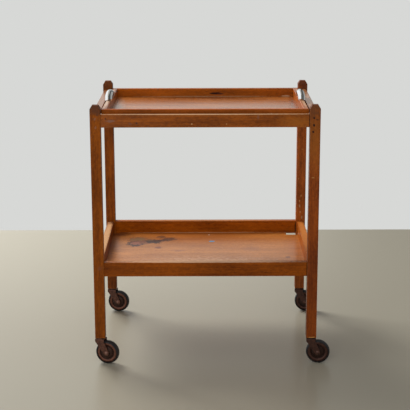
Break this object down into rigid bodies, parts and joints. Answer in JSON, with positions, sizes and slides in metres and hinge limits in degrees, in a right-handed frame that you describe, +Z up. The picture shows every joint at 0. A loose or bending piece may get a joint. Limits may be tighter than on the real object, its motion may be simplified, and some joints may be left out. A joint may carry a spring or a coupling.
{
  "type": "tea trolley",
  "caption": "Two-tier wooden tea trolley with a lift-out handled tray on top, a thin lower shelf, and a swivel castor under each post.",
  "frame": {"origin": "bottom centre of the bounding box, on the floor under the castors' wheels", "axes": "+X along the trolley towards its right end seen from the front, +Y from the front to the back, +Z up"},
  "size_m": [0.6504, 0.4796, 0.73],
  "materials": {
    "stained_hardwood": "satin varnish over reddish-brown stain",
    "stained_plywood": "satin varnish over reddish-brown stain, worn",
    "chrome": "polished",
    "bronzed_steel": "dark bronzed, semi-gloss",
    "black_tyre": "smooth, slightly worn",
    "plain_steel": "plain steel fasteners"
  },
  "bodies": {
    "frame": {"bearer_screws": "plain_steel", "castor_socket_back_left": "bronzed_steel", "castor_socket_back_right": "bronzed_steel", "castor_socket_front_left": "bronzed_steel", "castor_socket_front_right": "bronzed_steel", "lower_rail_back": "stained_hardwood", "lower_rail_front": "stained_hardwood", "lower_rail_left": "stained_hardwood", "lower_rail_right": "stained_hardwood", "post_back_left": "stained_hardwood", "post_back_right": "stained_hardwood", "post_front_left": "stained_hardwood", "post_front_right": "stained_hardwood", "shelf_panel": "stained_plywood", "shelf_pins": "plain_steel", "top_rail_back": "stained_hardwood", "top_rail_front": "stained_hardwood", "top_rail_left": "stained_hardwood", "top_rail_right": "stained_hardwood", "tray_bearer_left": "stained_hardwood", "tray_bearer_right": "stained_hardwood"},
    "tray": {"handle_left": "chrome", "handle_right": "chrome", "handle_screws": "plain_steel", "tray_base": "stained_plywood", "tray_rim_back": "stained_hardwood", "tray_rim_front": "stained_hardwood", "tray_rim_left": "stained_hardwood", "tray_rim_right": "stained_hardwood"},
    "fork_front_left": {"castor_fork_front_left": "bronzed_steel", "castor_ring_front_left": "bronzed_steel", "castor_stem_front_left": "bronzed_steel", "castor_axle_front_left": "bronzed_steel"},
    "wheel_front_left": {"castor_wheel_front_left": "bronzed_steel", "castor_tyre_front_left": "black_tyre"},
    "fork_front_right": {"castor_fork_front_right": "bronzed_steel", "castor_ring_front_right": "bronzed_steel", "castor_stem_front_right": "bronzed_steel", "castor_axle_front_right": "bronzed_steel"},
    "wheel_front_right": {"castor_wheel_front_right": "bronzed_steel", "castor_tyre_front_right": "black_tyre"},
    "fork_back_left": {"castor_fork_back_left": "bronzed_steel", "castor_ring_back_left": "bronzed_steel", "castor_stem_back_left": "bronzed_steel", "castor_axle_back_left": "bronzed_steel"},
    "wheel_back_left": {"castor_wheel_back_left": "bronzed_steel", "castor_tyre_back_left": "black_tyre"},
    "fork_back_right": {"castor_fork_back_right": "bronzed_steel", "castor_ring_back_right": "bronzed_steel", "castor_stem_back_right": "bronzed_steel", "castor_axle_back_right": "bronzed_steel"},
    "wheel_back_right": {"castor_wheel_back_right": "bronzed_steel", "castor_tyre_back_right": "black_tyre"}
  },
  "joints": [
    {"name": "tray_lift", "type": "slide", "parent": "frame", "child": "tray", "axis": [0, 0, 1], "range_m": [0, 0.25]},
    {"name": "swivel_front_left", "type": "hinge", "parent": "frame", "child": "fork_front_left", "pos_m": [-0.31007, -0.21744, 0.0755], "axis": [0, 0, 1], "continuous": true},
    {"name": "wheel_spin_front_left", "type": "hinge", "parent": "fork_front_left", "child": "wheel_front_left", "pos_m": [-0.29085, -0.22296, 0.033], "axis": [0.2756, 0.9613, 0], "continuous": true},
    {"name": "swivel_front_right", "type": "hinge", "parent": "frame", "child": "fork_front_right", "pos_m": [0.27193, -0.21744, 0.0755], "axis": [0, 0, 1], "continuous": true},
    {"name": "wheel_spin_front_right", "type": "hinge", "parent": "fork_front_right", "child": "wheel_front_right", "pos_m": [0.29173, -0.22023, 0.033], "axis": [0.1392, 0.9903, 0], "continuous": true},
    {"name": "swivel_back_left", "type": "hinge", "parent": "frame", "child": "fork_back_left", "pos_m": [-0.31007, 0.22456, 0.0755], "axis": [0, 0, 1], "continuous": true},
    {"name": "wheel_spin_back_left", "type": "hinge", "parent": "fork_back_left", "child": "wheel_back_left", "pos_m": [-0.29051, 0.2204, 0.033], "axis": [0.2079, 0.9781, 0], "continuous": true},
    {"name": "swivel_back_right", "type": "hinge", "parent": "frame", "child": "fork_back_right", "pos_m": [0.27193, 0.22456, 0.0755], "axis": [0, 0, 1], "continuous": true},
    {"name": "wheel_spin_back_right", "type": "hinge", "parent": "fork_back_right", "child": "wheel_back_right", "pos_m": [0.29149, 0.2204, 0.033], "axis": [0.2079, 0.9781, 0], "continuous": true}
  ]
}
